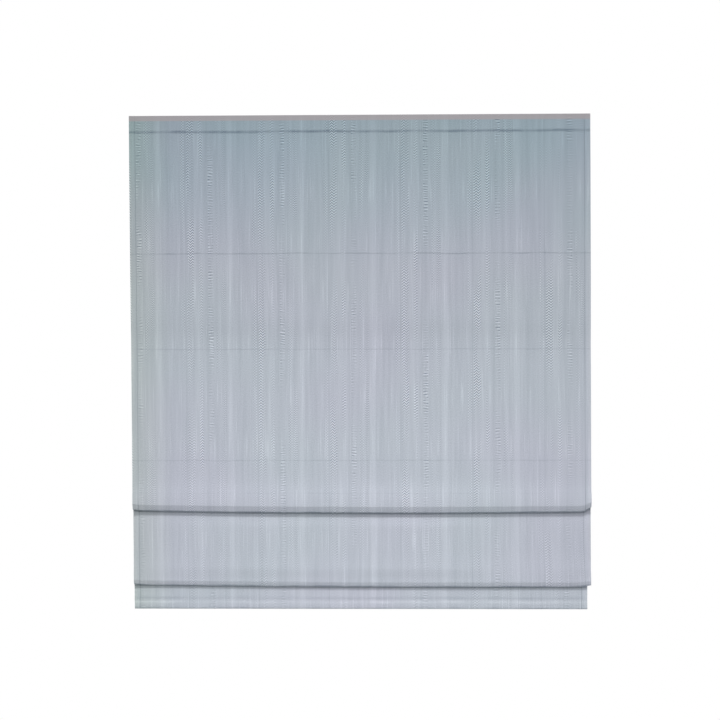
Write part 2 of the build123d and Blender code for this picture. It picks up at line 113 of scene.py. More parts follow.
def walk(start, moves):
    """Rows (y, z, heading, distance) of a line made of straight runs and arcs."""
    y, z, heading, along = start
    rows = [start]
    for length, radius, degrees in moves:
        turn = math.radians(degrees)
        if radius:
            steps = max(3, math.ceil(abs(turn) / arc_step), math.ceil(abs(turn) * radius / arc_gap))
            side = math.copysign(radius, turn)
            centre_y = y - side * math.sin(heading)
            centre_z = z + side * math.cos(heading)
            for step in range(1, steps + 1):
                now = heading + turn * step / steps
                place = (centre_y + side * math.sin(now), centre_z - side * math.cos(now))
                rows.append((*place, now, along + abs(turn) * radius * step / steps))
        else:
            steps = max(1, round(length / row_gap))
            for step in range(1, steps + 1):
                run = length * step / steps
                place = (y + run * math.cos(heading), z + run * math.sin(heading))
                rows.append((*place, heading, along + run))
        y, z, heading, along = rows[-1]
    return rows


# %% [markdown]
# A soft fold isn't a half circle. The cloth leans back a little over the last centimetre,
# then turns tightly. The folds also stand a few millimetres proud, because the layers
# behind push them out. A fold is walked in two halves that meet at its lowest point. The
# back half leans a little too.

# %% Shape of a fold's nose
nose_bend = 5 * mm
small_bend = 1 * mm
upper_push = 4 * mm
lower_push = 1.5 * mm
push_length = 70 * mm
back_lean = 1.5 * mm


def ease(depth, length):
    """Moves of a long S that shifts the line by depth over a length, back if positive."""
    lean = 2 * math.atan(depth / length)
    radius = abs(length / 2 / math.sin(lean))
    angle = math.degrees(lean)
    return [(0, radius, angle), (0, radius, -angle)]


def lean_back(depth, height):
    """Moves of a straight run up that ends further back by depth."""
    angle = math.degrees(math.atan(depth / height))
    return [(0, small_bend, -angle), (math.hypot(depth, height), 0, 0), (0, small_bend, angle)]


def nose(depth, lean_degrees, run):
    """Height of the nose, radius of its tight turn, and the moves of its two halves."""
    lean = math.radians(lean_degrees)
    slant = nose_bend * (1 - math.cos(lean)) + run * math.sin(lean)
    tight = (depth - slant) / (1 + math.cos(lean))
    height = nose_bend * math.sin(lean) + run * math.cos(lean) + tight * (1 - math.sin(lean))
    before = [(0, nose_bend, lean_degrees), (run, 0, 0), (0, tight, 90 - lean_degrees)]
    return height, tight, before, [(0, tight, 90)]


upper_depth = upper_back_y - back_lean - front_y + upper_push
lower_depth = lower_back_y - back_lean - middle_y + lower_push
upper_height, upper_tight, upper_before, upper_after = nose(upper_depth, lean_degrees=15, run=12 * mm)
lower_height, lower_tight, lower_before, lower_after = nose(lower_depth, lean_degrees=14, run=9 * mm)
print("nose heights", round(upper_height, 4), round(lower_height, 4))

# %% [markdown]
# The cloth is cut into seven stretches: at both ends of the seam above the upper rod, at
# the two fold lines, and at the middle and lower rods. In the seam the cloth eases from
# the header's plane to the upper rod's in a long S, which is hardly seen.

# %% Rows of the seven stretches
down = math.radians(-90)
seam_above_rod = 3 * mm
seam_length = 80 * mm
seam_depth = front_y - header_y
seam_low = rods[3].z + seam_above_rod
seam_top = seam_low + seam_length
ridge = [(0, ridge_radius, -180)]
hem_height = 24 * mm
hem_bar_half = 1.5 * mm
hem_bar_gap = 0.3 * mm
hem_radius = hem_bar_half + half_cloth + hem_bar_gap
flap_gap = 0.1 * mm
flap_radius = hem_radius - (cloth_thickness + flap_gap) / 2
flap_rise = 17.7 * mm
flap_edge = 2.5 * mm

stretch_moves = {
    "upper_panel": [(cloth_top - seam_top, 0, 0)],
    "rod_seam": ease(seam_depth, seam_length),
    "first_fold_front": [
        (seam_low - fold_upper - upper_height - push_length, 0, 0),
        *ease(-upper_push, push_length),
        *upper_before,
    ],
    "first_fold_back": [
        *upper_after,
        *lean_back(back_lean, rods[2].z - fold_upper - upper_tight),
        *ridge,
    ],
    "second_fold_front": [
        (rods[2].z - fold_lower - lower_height - push_length, 0, 0),
        *ease(-lower_push, push_length),
        *lower_before,
    ],
    "second_fold_back": [
        *lower_after,
        *lean_back(back_lean, rods[1].z - fold_lower - lower_tight),
        *ridge,
    ],
    "hem_panel": [
        (rods[1].z - hem_z - hem_radius, 0, 0),
        (0, hem_radius, 180),
        (flap_rise, 0, 0),
        (0, flap_radius, 90),
        (0, flap_radius, -90),
        (flap_edge, 0, 0),
    ],
}
stretch_rows = {}
place = (header_y, cloth_top, down, 0.0)
for name, moves in stretch_moves.items():
    stretch_rows[name] = walk(place, moves)
    place = stretch_rows[name][-1]
    print(name, len(stretch_rows[name]), "rows to", round(place[3], 3), "m")
print("the seam eases back by", round(seam_depth, 4), "m")

# %% [markdown]
# Cloth never hangs quite flat. A slow wave runs across each panel and dies out at the
# rods. The front fold's line rises towards both sides and its corners curl up, more at
# the right. The left side leans in by a centimetre on the way down, the right side by
# hardly a millimetre. `drape` and `lean_in` move a point by those amounts, and the same
# rules are used on both sides of a border, so the stretches stay joined.

# %% Drape of the cloth
wave_height = 0.9 * mm
wave_change = 1.6
waves_across, waves_down = 5.5, 1.6
wave_ends = 5
fold_reach = 60 * mm
curl_length = 24 * mm
curl_out = 1.5 * mm
line_dip = 0.8 * mm
dips_across = 3.1
dip_seed = 4.2
left_start, left_lean = -3.25 * mm, 9.9 * mm
right_start, right_lean = 1.15 * mm, -0.8 * mm
fold_shapes = {
    fold_upper: {"rise": 2.5 * mm, "bow": 3.6 * mm, "tilt": -1.2 * mm, "curls": (2.0 * mm, 10.0 * mm)},
    fold_lower: {"rise": -0.6 * mm, "bow": 2.1 * mm, "tilt": -1.6 * mm, "curls": (1.5 * mm, 3.5 * mm)},
}


def smooth(value):
    """Ease from 0 to 1."""
    value = min(max(value, 0.0), 1.0)
    return value * value * (3 - 2 * value)


def drape(x, z, top, bottom, fold, seed):
    """Offset towards the room and up, for a point of a panel between two heights."""
    share = (top - z) / (top - bottom) if top > bottom else 0.0
    swell = smooth(share * wave_ends) * smooth((1 - share) * wave_ends)
    slow_wave = noise.noise(Vector((x * waves_across, z * waves_down, seed)))
    out = wave_height * swell * (1.0 + wave_change * slow_wave)
    up = 0.0
    if fold is not None:
        shape = fold_shapes[fold]
        side = x / half_width
        near = smooth(1 - (z - fold) / fold_reach)
        end = smooth((abs(x) - half_width + curl_length) / curl_length) ** 2
        curl = shape["curls"][0 if x < 0 else 1]
        up = shape["rise"] + shape["bow"] * side**2 + shape["tilt"] * side
        up += curl * end + line_dip * noise.noise(Vector((x * dips_across, seed, dip_seed)))
        up *= near
        out += near * curl_out * end
    return out, up


def lean_in(x, z):
    """Shift in x of a point, nothing in the middle and most at the sides."""
    start, lean = (left_start, left_lean) if x < 0 else (right_start, right_lean)
    return (start + lean * (cloth_top - z)) * abs(x) / half_width


for side in (-1, 1):
    shift = lean_in(side * half_width, fold_lower)
    print("side", side, "moves by", round(shift / mm, 1), "mm at the second fold")

# %% [markdown]
# Each stretch becomes a closed sheet: a face side, a back side set one thickness behind
# it, and a rim all round. The side hems are a second layer on the back, 13 mm wide.
# Columns are closer together there, and the rest are 10 mm apart.

# %% Make one stretch of cloth
side_hem = 13 * mm
side_hem_extra = 0.5 * mm
hem_column = 6 * mm
hem_step = 1 * mm
inner_columns = 98
crease_angle = math.radians(70)


def add_object(name, data):
    """Object with this data, in the scene."""
    thing = bpy.data.objects.new(name, data)
    bpy.context.scene.collection.objects.link(thing)
    return thing


def mark_creases(shape):
    """Mark the steep edges of a bmesh, so that smooth shading doesn't run round them."""
    for edge in shape.edges:
        if len(edge.link_faces) == 2:
            edge.smooth = edge.calc_face_angle(0.0) < crease_angle


def cloth_columns():
    """Places across the cloth, with a step where each side hem ends."""
    inner_half = half_width - side_hem - hem_step
    inner = np.linspace(-inner_half, inner_half, inner_columns)
    left = [-half_width, -half_width + hem_column, -half_width + side_hem]
    return np.array([*left, *inner, *(-x for x in reversed(left))])


def closed_sheet(name, face_points, back_points, columns, distances):
    """Mesh from two grids of points with a rim, and a map in metres of the flat cloth."""
    count, wide = len(distances), len(columns)
    points = np.concatenate([face_points.reshape(-1, 3), back_points.reshape(-1, 3)])
    shift = count * wide
    faces = []
    for row in range(count - 1):
        for column in range(wide - 1):
            a = row * wide + column
            b, c, d = a + 1, a + wide + 1, a + wide
            faces.append((a, d, c, b))
            faces.append((a + shift, b + shift, c + shift, d + shift))
    sheet_faces = len(faces)
    for row in range(count - 1):
        left, right = row * wide, row * wide + wide - 1
        faces.append((left, left + shift, left + wide + shift, left + wide))
        faces.append((right, right + wide, right + wide + shift, right + shift))
    for column in range(wide - 1):
        first, last = column, (count - 1) * wide + column
        faces.append((first, first + 1, first + 1 + shift, first + shift))
        faces.append((last, last + shift, last + 1 + shift, last + 1))
    mesh = bpy.data.meshes.new(name)
    mesh.from_pydata(points.tolist(), [], faces)
    across = np.tile(columns, count * 2)
    along = np.tile(np.repeat(distances, wide), 2)
    corners = np.empty(len(mesh.loops), dtype=np.int32)
    mesh.loops.foreach_get("vertex_index", corners)
    pairs = np.stack([across[corners], along[corners]], axis=1)
    mesh.uv_layers.new(name="cloth_metres").data.foreach_set("uv", pairs.ravel().astype(np.float32))
    smooth_flags = np.arange(len(faces)) < sheet_faces
    mesh.polygons.foreach_set("use_smooth", smooth_flags)
    back_side = np.zeros(len(faces), dtype=np.int32)
    back_side[1:sheet_faces:2] = 1
    mesh.polygons.foreach_set("material_index", back_side)
    shape = bmesh.new()
    shape.from_mesh(mesh)
    mark_creases(shape)
    shape.to_mesh(mesh)
    shape.free()
    return add_object(name, mesh)


def cloth_stretch(name, top, bottom, fold, seed, draw_in):
    """One plain stretch, and the shifts that drape it between two heights."""
    rows = stretch_rows[name]
    columns = cloth_columns()
    face_points = np.zeros((len(rows), len(columns), 3))
    back_points = np.zeros_like(face_points)
    shifts = np.zeros_like(face_points)
    for i, (y, z, heading, _) in enumerate(rows):
        lift = np.array([0.0, math.sin(heading), -math.cos(heading)])
        for j, x in enumerate(columns):
            out, up = drape(x, z, top, bottom, fold, seed)
            hem = side_hem_extra if abs(x) > half_width - side_hem - hem_step / 2 else 0.0
            inward = lean_in(x, z)
            if draw_in is not None and x > 0:
                inward -= draw_in(z) * x / half_width
            middle = np.array([x, y, z])
            face_points[i, j] = middle + lift * half_cloth
            back_points[i, j] = middle - lift * (half_cloth + hem)
            shifts[i, j] = (inward, -out, up)
    distances = np.array([row[3] for row in rows])
    piece = closed_sheet(name, face_points, back_points, columns, distances)
    return piece, np.concatenate([shifts.reshape(-1, 3)] * 2)


# %% [markdown]
# The right side is drawn in a little more in two places: under the front fold, and from
# the lowest rod down to the hem. Each stretch is given the heights where its slow wave
# starts and stops, its fold line, the number that picks its wave, and how its right side
# is drawn in. A stretch with 0 for both heights has no wave.

# %% Make the seven stretches
fold_narrowing = 3.5 * mm
hem_narrowing = 7.3 * mm
short_pull = 70 * mm
long_pull = 120 * mm
still_height = 14 * mm
hidden_height = 4 * mm


def fold_draw_in(z):
    """The second panel's right side, drawn in at its top and free again at its fold."""
    freed = smooth((z - fold_lower) / long_pull)
    return fold_narrowing * smooth((rods[2].z - z) / short_pull) * freed


def hem_draw_in(z):
    """The hem panel's right side, drawn in towards the hem."""
    return hem_narrowing * smooth((rods[1].z - z) / long_pull)


stretch_drapes = {
    "upper_panel": (stitch_z, seam_top, None, 1.0, None),
    "rod_seam": (0, 0, None, 1.0, None),
    "first_fold_front": (seam_low, fold_upper + still_height, fold_upper, 2.0, None),
    "first_fold_back": (0, 0, fold_upper, 2.0, None),
    "second_fold_front": (
        fold_upper - hidden_height, fold_lower + still_height, fold_lower, 3.0, fold_draw_in,
    ),
    "second_fold_back": (0, 0, fold_lower, 3.0, None),
    "hem_panel": (0, 0, None, 4.0, hem_draw_in),
}
cloth, cloth_shifts = {}, {}
for name, settings in stretch_drapes.items():
    cloth[name], cloth_shifts[name] = cloth_stretch(name, *settings)
print("cloth faces", sum(len(piece.data.polygons) for piece in cloth.values()))

# %% [markdown]
# A stretch that runs from one carrier to the next stays where it was made, with its
# place baked in. The second fold's front hangs from the middle rod, and the hem panel
# from the lowest one. The drape is added after that, so that both sides of a border
# move alike.

# %% Hang two stretches on the rods and add the drape
joins = {
    "upper_panel": ("headrail", "rod_3", stitch_z, 2 * seam_top - stitch_z),
    "rod_seam": ("headrail", "rod_3", seam_top + seam_length, seam_low),
    "first_fold_front": ("rod_3", "rod_2", seam_low, 2 * fold_upper - seam_low),
    "first_fold_back": ("rod_3", "rod_2", 2 * fold_upper - rods[2].z, rods[2].z),
    "second_fold_back": ("rod_2", "rod_1", fold_lower, rods[1].z),
}
for name, (above, below, start, end) in joins.items():
    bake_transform(cloth[name])
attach(cloth["second_fold_front"], "rod_2")
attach(cloth["hem_panel"], "rod_1")
for name, piece in cloth.items():
    points = np.empty(len(piece.data.vertices) * 3)
    piece.data.vertices.foreach_get("co", points)
    piece.data.vertices.foreach_set("co", points + cloth_shifts[name].ravel())
    piece.data.update()
    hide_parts("fabric")

# %% [markdown]
# Colours are written as the sRGB values that a colour picker shows, and one function
# turns them to the linear values that Blender works in. One more function adds a node
# with its options and its inputs, so each material below reads as a list of steps.

# %% Helpers for materials
def linear(hex_colour):
    """Linear RGBA from an sRGB hex value."""
    parts = [int(hex_colour[i : i + 2], 16) / 255 for i in (1, 3, 5)]
    parts = [c / 12.92 if c <= 0.04045 else ((c + 0.055) / 1.055) ** 2.4 for c in parts]
    return (*parts, 1.0)


def set_inputs(tree, node, inputs):
    """Set or link a node's inputs. A node given as a value stands for its first output."""
    for key, value in inputs.items():
        if isinstance(value, bpy.types.Node):
            value = value.outputs[0]
        if isinstance(value, bpy.types.NodeSocket):
            tree.links.new(value, node.inputs[key])
        else:
            node.inputs[key].default_value = value


def add_node(tree, kind, inputs=None, **options):
    """One node, with its options set and its inputs set or linked."""
    node = tree.nodes.new(kind)
    for name, value in options.items():
        setattr(node, name, value)
    set_inputs(tree, node, inputs or {})
    return node


def new_material(name):
    """New node material, with its tree and its shader."""
    material = bpy.data.materials.new(name)
    material.use_nodes = True
    tree = material.node_tree
    return material, tree, tree.nodes["Principled BSDF"]


def set_stops(ramp_node, stops, interpolation="LINEAR"):
    """Fill a Color Ramp with (place, grey) stops."""
    ramp = ramp_node.color_ramp
    ramp.interpolation = interpolation
    while len(ramp.elements) < len(stops):
        ramp.elements.new(0.5)
    for element, (where, grey) in zip(ramp.elements, stops):
        element.position = where
        element.color = (grey, grey, grey, 1)


def patches(tree, place, size_mm, detail, span=(0.0, 1.0), levels=(0.0, 1.0)):
    """Noise whose patches have a size in millimetres each way, stretched from span to levels."""
    scale = [1000 / side for side in size_mm] + [0.0] * (3 - len(size_mm))
    cells = add_node(tree, "ShaderNodeVectorMath", {0: place, 1: scale}, operation="MULTIPLY")
    soft = add_node(tree, "ShaderNodeTexNoise", {"Vector": cells, "Scale": 1.0, "Detail": detail})
    ends = {0: soft, 1: span[0], 2: span[1], 3: levels[0], 4: levels[1]}
    return add_node(tree, "ShaderNodeMapRange", ends)


print("white in linear values", linear("#ffffff"))

# %% [markdown]
# The cloth is a jacquard: two yarns, one blue-grey and dull, one silver and slightly
# lustrous, and a loom that brings one or the other to the face. The figure repeats
# every 156 mm across, as light stripes, herringbone, checks and rungs in upright bands.
# A Color Ramp over one repeat says how much silver yarn shows in each band. The small
# figures in the bands come from sines at their real sizes.

# %% Bands of the jacquard, in millimetres from the middle of a light stripe
repeat = 155.8
first_stripe = -126.4
bands = [
    (0.0, 0.555), (4.5, 0.53), (7, 0.47), (13, 0.455), (22, 0.44), (30, 0.445), (41, 0.46),
    (43, 0.485), (45, 0.455), (55, 0.47), (57.2, 0.50), (58.4, 0.39), (60, 0.40), (61.4, 0.46),
    (74, 0.47), (81, 0.50), (94, 0.50), (101, 0.465), (105, 0.43), (118, 0.46), (129, 0.455),
    (132.5, 0.50), (137, 0.475), (141, 0.455), (147, 0.46), (150.5, 0.515), (repeat, 0.555),
]
figure_bands = {
    "herringbone": (0.60, [(62, 77), (88, 96)]),
    "checks": (0.42, [(49, 57), (126, 136)]),
    "rungs": (0.32, [(108, 119)]),
    "fine herringbone": (0.42, [(138, 146), (20, 26)]),
}
print(len(bands), "stops and", len(figure_bands), "kinds of figure in", repeat, "mm")

# %% [markdown]
# Each function below takes places across and along the flat cloth, in millimetres, and
# adds one thing that the loom does. A mask keeps a figure inside its own bands.

# %% Bands and figures in the map of the flat cloth
def wave(tree, place, pitch):
    """Sine of a place, with one full wave in each pitch."""
    angle = add_node(tree, "ShaderNodeMath", {0: place, 1: 2 * math.pi / pitch}, operation="MULTIPLY")
    return add_node(tree, "ShaderNodeMath", {0: angle}, operation="SINE")


def herringbone(tree, across, along, turn_back, slant, pitch):
    """Strokes a pitch apart, whose slant turns back each time a width has been crossed."""
    swing = add_node(tree, "ShaderNodeMath", {0: across, 1: turn_back}, operation="PINGPONG")
    slanted = add_node(
        tree, "ShaderNodeMath", {0: swing, 1: slant, 2: along}, operation="MULTIPLY_ADD"
    )
    return wave(tree, slanted, pitch)


def figure_shapes(tree, uv, across, along):
    """The four figures, each from -1 to 1, with sizes in millimetres."""
    dots = {0: wave(tree, across, 6.0), 1: wave(tree, along, 5.8)}
    uneven = patches(tree, uv, (33.33, 33.33), 0.0)
    bent = add_node(tree, "ShaderNodeMath", {0: uneven, 1: 9.0, 2: along}, operation="MULTIPLY_ADD")
    worn = patches(tree, uv, (10, 10), 1.0, (0.42, 0.56), (0.1, 1.3))
    bars = {0: wave(tree, bent, 5.8), 1: worn}
    return {
        "herringbone": herringbone(tree, across, along, 4.6, 1.1, 5.8),
        "checks": add_node(tree, "ShaderNodeMath", dots, operation="MULTIPLY"),
        "rungs": add_node(tree, "ShaderNodeMath", bars, operation="MULTIPLY"),
        "fine herringbone": herringbone(tree, across, along, 2.6, 1.3, 4.9),
    }


def band_mask(tree, place, spans):
    """1 inside the given bands of the repeat and 0 outside."""
    node = add_node(tree, "ShaderNodeValToRGB", {0: place})
    stops = [(0.0, 0.0)]
    for start, stop in spans:
        stops += [(start / repeat, 1.0), (stop / repeat, 0.0)]
    set_stops(node, stops, "CONSTANT")
    return node


def silver_in_bands(tree, uv, across, along, figure_share):
    """How much silver yarn shows, from the bands and the figures in them."""
    shifted = add_node(tree, "ShaderNodeMath", {0: across, 1: first_stripe}, operation="SUBTRACT")
    turns = add_node(tree, "ShaderNodeMath", {0: shifted, 1: repeat}, operation="DIVIDE")
    place = add_node(tree, "ShaderNodeMath", {0: turns}, operation="FRACT")
    tone = add_node(tree, "ShaderNodeValToRGB", {0: place})
    set_stops(tone, [(where / repeat, grey) for where, grey in bands])

    # Figures come and go in patches 26 mm wide and 111 mm long, and are fainter lower down
    fade = patches(tree, uv, (26.32, 111.1), 2.0, (0.42, 0.64), (0.03, 1.2))
    lower = add_node(tree, "ShaderNodeMapRange", {0: along, 1: 150, 2: 1200, 3: 1.0, 4: 0.4})
    fade = add_node(tree, "ShaderNodeMath", {0: fade, 1: lower}, operation="MULTIPLY")
    shapes = figure_shapes(tree, uv, across, along)
    figures = 0.0
    for figure, (depth, spans) in figure_bands.items():
        inside = {0: shapes[figure], 1: band_mask(tree, place, spans)}
        shown = add_node(tree, "ShaderNodeMath", inside, operation="MULTIPLY")
        added = {0: shown, 1: depth * figure_share, 2: figures}
        figures = add_node(tree, "ShaderNodeMath", added, operation="MULTIPLY_ADD")
    return add_node(tree, "ShaderNodeMath", {0: figures, 1: fade, 2: tone}, operation="MULTIPLY_ADD")


# %% [markdown]
# Lines that run across the cloth are drawn in the same map, by how far down the cloth
# they lie: rows of stitching, creases left from the packet, and the folds. Each is a
# shallow groove in the bump where less silver shows, and that darker colour is painted
# shade of the groove. At the folds and the turn of the hem it is the painted shade of the
# cloth turning under. The band under the hem's stitching shows more silver instead, a
# painted highlight. The stitching of the side hems is a groove down each side, painted
# darker in the same way.

# %% Lines in the map, as place, half-width and depth
fold_places = [stretch_rows[name][-1][3] for name in ("first_fold_front", "second_fold_front")]
hem_turn = stretch_rows["hem_panel"][0][3] + rods[1].z - hem_z - hem_radius
hem_stitch = hem_turn - hem_height + hem_radius
seam_bottom = stretch_rows["rod_seam"][-1][3]
# Each depth darkens its line as painted shade; a negative one lightens it as a painted highlight
cross_lines = {
    "header stitching": (header_height, 4.5 * mm, 0.46),
    "upper crease": (301.8 * mm, 1.9 * mm, 0.34),
    "rod stitching": (seam_bottom + seam_above_rod, 1.6 * mm, 0.14),
    "middle crease": (seam_bottom + 244.5 * mm, 2.2 * mm, 0.14),
    "lower crease": (seam_bottom + 316.5 * mm, 1.6 * mm, 0.08),
    # The two folds are painted darker, as painted shade where the cloth turns under
    "front fold": (fold_places[0], 3.5 * mm, 0.60),
    "second fold": (fold_places[1], 4.0 * mm, 0.50),
    "hem stitching": (hem_stitch, 5.0 * mm, 0.10),
    # Painted highlight: a lighter band under the hem's stitching
    "painted highlight of the hem": (hem_stitch + 9 * mm, 5.0 * mm, -0.20),
    # The turn of the hem is painted darker, as painted shade where the cloth turns under
    "turn of the hem": (hem_turn, 3.0 * mm, 0.20),
}
# The side hems' stitching is painted darker, as painted shade of its groove
side_line_half = 0.8
side_line_depth = 0.22
print("lines at", {name: round(line[0], 3) for name, line in cross_lines.items()})


def grooves_and_painted_shade(tree, uv, across, along):
    """Painted shade of the lines across and of the side hems' stitching, as less silver; it sinks the bump
    too.
    """
    # Each line wanders by up to 3 mm, and is fainter in patches 62 mm across
    ripple = patches(tree, uv, (83.33, 83.33), 2.0, levels=(-3.0, 3.0))
    wavy = add_node(tree, "ShaderNodeMath", {0: along, 1: ripple}, operation="ADD")
    total = 0.0
    for middle, half, depth in cross_lines.values():
        away = add_node(tree, "ShaderNodeMath", {0: wavy, 1: middle / mm}, operation="SUBTRACT")
        away = add_node(tree, "ShaderNodeMath", {0: away}, operation="ABSOLUTE")
        fall = {0: away, 1: 0.0, 2: half / mm, 3: depth, 4: 0.0}
        level = add_node(tree, "ShaderNodeMapRange", fall)
        total = add_node(tree, "ShaderNodeMath", {0: level, 1: total}, operation="ADD")
    faint = patches(tree, uv, (62.5, 62.5), 2.0, (0.38, 0.6), (0.35, 1.0))
    line = add_node(tree, "ShaderNodeMath", {0: total, 1: faint}, operation="MULTIPLY")

    from_middle = add_node(tree, "ShaderNodeMath", {0: across}, operation="ABSOLUTE")
    near_hem = {0: from_middle, 1: (half_width - side_hem) / mm, 2: side_line_half}
    side_line = add_node(tree, "ShaderNodeMath", near_hem, operation="COMPARE")
    both = {0: side_line, 1: side_line_depth, 2: line}
    return add_node(tree, "ShaderNodeMath", both, operation="MULTIPLY_ADD")


# %% [markdown]
# The colour isn't quite even either. Over its top 33 cm the cloth is painted greener
# towards the headrail, a painted tint of the light that falls there. It drifts between a
# greener and a more violet grey, and is a little yellower at its left edge. Its top 11 mm
# are painted a darker brownish grey, as painted shade of the header's top edge.

# %% Tints over the whole cloth
def tinted(tree, uv, across, along, colour):
    """Woven colour with tints over it, two of them painted light and shade; places in millimetres."""
    # Painted light: the top 33 cm turn greener, for the tint of the light under the headrail
    patchy = patches(tree, uv, (250, 250), 1.0, (0.35, 0.65), (0.75, 1.2))
    high = add_node(tree, "ShaderNodeMapRange", {0: along, 1: 0, 2: 330, 3: 1.0, 4: 0.0})
    painted_green_light = add_node(tree, "ShaderNodeMath", {0: patchy, 1: high}, operation="MULTIPLY", use_clamp=True)
    hue = patches(tree, uv, (333.3, 333.3), 1.0, (0.38, 0.62))
    greys = {0: hue, 6: linear("#fcfffd"), 7: linear("#fffdff")}
    drift = add_node(tree, "ShaderNodeMix", greys, data_type="RGBA").outputs[2]
    left = add_node(tree, "ShaderNodeMapRange", {0: across, 1: -500, 2: -410, 3: 0.8, 4: 0.0})
    # Painted shade: the top 11 mm are darker and browner, for the header's shaded top edge
    top = add_node(tree, "ShaderNodeMapRange", {0: along, 1: 10.5, 2: 12.5, 3: 0.75, 4: 0.0})
    for amount, tint, blend in (
        (painted_green_light, linear("#efffff"), "MULTIPLY"),
        (1.0, drift, "MULTIPLY"),
        (left, linear("#fbfff2"), "MULTIPLY"),
        (top, linear("#c4b9ba"), "MIX"),
    ):
        laid = {0: amount, 6: colour, 7: tint}
        node = add_node(tree, "ShaderNodeMix", laid, data_type="RGBA", blend_type=blend)
        colour = node.outputs[2]
    return colour


# %% [markdown]
# The material puts these together. It adds slubs, which are long upright streaks where a
# thicker bit of yarn runs, single light yarns, and specks of silver. Its picks of weft
# lie 0.7 mm apart, a little coarser than woven. That is too fine to show from across a
# room, and is there for a close look. Woven yarn is rough, with a faint sheen.

# %% Jacquard cloth
def jacquard(name, dull_yarn, silver_yarn, figure_share):
    """Woven cloth whose figure lies in the map of the flat cloth."""
    material, tree, shader = new_material(name)
    uv = add_node(tree, "ShaderNodeUVMap", uv_map="cloth_metres")
    size = add_node(tree, "ShaderNodeVectorMath", {0: uv, 1: (1000, 1000, 0)}, operation="MULTIPLY")
    split = add_node(tree, "ShaderNodeSeparateXYZ", {0: size})
    across, along = split.outputs[0], split.outputs[1]

    silver = silver_in_bands(tree, uv, across, along, figure_share)
    slubs = patches(tree, uv, (6.667, 200), 2.0, (0.25, 0.75), (-0.06, 0.06))
    light_yarns = patches(tree, uv, (2.381, 111.1), 0.0, (0.66, 0.76), (0.0, 0.14))
    specks = patches(tree, uv, (2.381, 2.381), 2.0, (0.3, 0.7), (-0.09, 0.09))
    for level in (slubs, light_yarns, specks):
        silver = add_node(tree, "ShaderNodeMath", {0: silver, 1: level}, operation="ADD")
    # Less silver in the lines is painted shade, and more under the hem's stitching a painted highlight
    sunk = {0: silver, 1: grooves_and_painted_shade(tree, uv, across, along)}
    silver = add_node(tree, "ShaderNodeMath", sunk, operation="SUBTRACT", use_clamp=True)
    yarns = {0: silver, 6: linear(dull_yarn), 7: linear(silver_yarn)}
    colour = add_node(tree, "ShaderNodeMix", yarns, data_type="RGBA").outputs[2]

    # A Wave Texture draws 20 / (2 pi) waves in each unit, so 0.45 gives one every 0.7 mm
    picks = {"Vector": size, "Scale": 0.45, "Distortion": 0.8, "Detail": 2.0}
    weft = add_node(tree, "ShaderNodeTexWave", picks, wave_type="BANDS", bands_direction="Y")
    threads = {0: silver, 1: 1.2, 2: weft.outputs["Fac"]}
    height = add_node(tree, "ShaderNodeMath", threads, operation="MULTIPLY_ADD")
    relief = {"Height": height, "Strength": 0.25, "Distance": 0.2 * mm}
    set_inputs(tree, shader, {
        "Base Color": tinted(tree, uv, across, along, colour),
        "Normal": add_node(tree, "ShaderNodeBump", relief),
        "Roughness": 0.82,
        "Sheen Weight": 0.12,
        "Sheen Roughness": 0.5,
        "Specular IOR Level": 0.3,
    })
    return material


cloth_face = jacquard("jacquard_cloth_face", "#858e9c", "#e2e6ee", 1.0)
cloth_back = jacquard("jacquard_cloth_back", "#a2a9b5", "#d8dce3", 0.5)
for piece in cloth.values():
    piece.data.materials.append(cloth_face)
    piece.data.materials.append(cloth_back)
print("nodes in the cloth's material", len(cloth_face.node_tree.nodes))

# %% [markdown]
# Long thin pieces are all skins over a row of rings: a tape is one outline repeated, a
# cord is a circle carried along its path. One function joins the rings, closes the ends
# and unrolls the skin into a map in metres.

# %% Skin over rings
def skin(name, rings, distances):
    """Closed mesh over rings of points, with its length and girth as a map in metres."""
    count, ring = len(rings), len(rings[0])
    points = [tuple(point) for one in rings for point in one]
    faces = []
    for i in range(count - 1):
        for j in range(ring):
            a, b = i * ring + j, i * ring + (j + 1) % ring
            faces.append((a, b, b + ring, a + ring))
    side_faces = len(faces)
    faces.append(tuple(range(ring)))
    faces.append(tuple(range((count - 1) * ring, count * ring)))
    mesh = bpy.data.meshes.new(name)
    mesh.from_pydata(points, [], faces)
    shape = bmesh.new()
    shape.from_mesh(mesh)
    bmesh.ops.recalc_face_normals(shape, faces=shape.faces)
    shape.faces.ensure_lookup_table()
    around = [0.0]
    for j in range(ring):
        step = Vector(rings[0][(j + 1) % ring]) - Vector(rings[0][j])
        around.append(around[-1] + step.length)
    layer = shape.loops.layers.uv.new("cloth_metres")
    for face in shape.faces:
        face.smooth = face.index < side_faces
        last_strip = face.smooth and face.index % ring == ring - 1
        for loop in face.loops:
            i, j = divmod(loop.vert.index, ring)
            loop[layer].uv = (distances[i], around[ring if last_strip and j == 0 else j])
    mark_creases(shape)
    shape.to_mesh(mesh)
    shape.free()
    return add_object(name, mesh)


# %% [markdown]
# The header hangs on touch-and-close tape. Each half is a woven strip with a flat
# selvedge 2 mm wide along both edges and hooks or loops standing between them. Only
# the edges of the two halves can be seen, from above and below.

# %% Touch-and-close tapes
selvedge = 2 * mm
selvedge_thickness = 0.7 * mm
pile_slope = 0.6 * mm
tape_columns = 60


